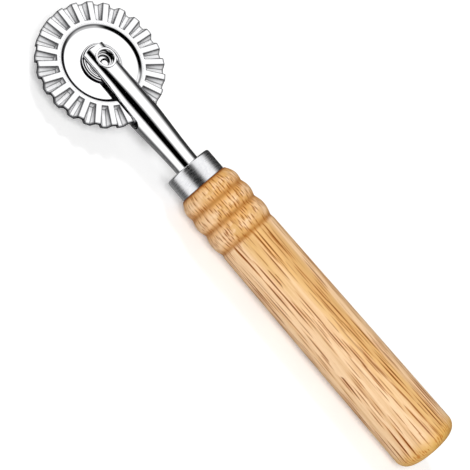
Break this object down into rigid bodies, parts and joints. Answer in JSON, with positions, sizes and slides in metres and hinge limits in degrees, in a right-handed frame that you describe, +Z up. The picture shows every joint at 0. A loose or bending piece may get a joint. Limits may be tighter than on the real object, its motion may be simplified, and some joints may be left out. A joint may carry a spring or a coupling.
{
  "type": "pastry wheel",
  "caption": "Fluted steel pastry wheel that spins on a tubular rivet in a two-arm steel fork, on a turned wooden handle with a steel ferrule and three beads.",
  "frame": {"origin": "under the middle of the whole tool, on the surface that it lies on", "axes": "+X along the handle from the wheel to the butt, +Z up; the tool lies on its round handle and leans 14 degrees about +X, towards the side it comes to rest on, so the wheel's axle leans 14 degrees from +Z towards -Y, with the rivet's rolled lip on top"},
  "size_m": [0.1692, 0.0393, 0.0207],
  "materials": {
    "handle_wood": "oiled, fine open grain",
    "ferrule_steel": "satin",
    "fork_steel": "mirror polished",
    "rivet_steel": "polished",
    "wheel_steel": "mirror polished",
    "hub_steel": "polished"
  },
  "bodies": {
    "root": {"handle": "handle_wood", "ferrule": "ferrule_steel", "fork_arm_upper": "fork_steel", "fork_arm_lower": "fork_steel", "axle_rivet": "rivet_steel"},
    "wheel_assembly": {"wheel": "wheel_steel", "hub_bush": "hub_steel", "hub_washer_upper": "hub_steel", "hub_washer_lower": "hub_steel"}
  },
  "joints": [
    {"name": "wheel_spin", "type": "hinge", "parent": "root", "child": "wheel_assembly", "pos_m": [-0.0646, 0, 0.01035], "axis": [0, -0.2419, 0.9703], "continuous": true}
  ]
}
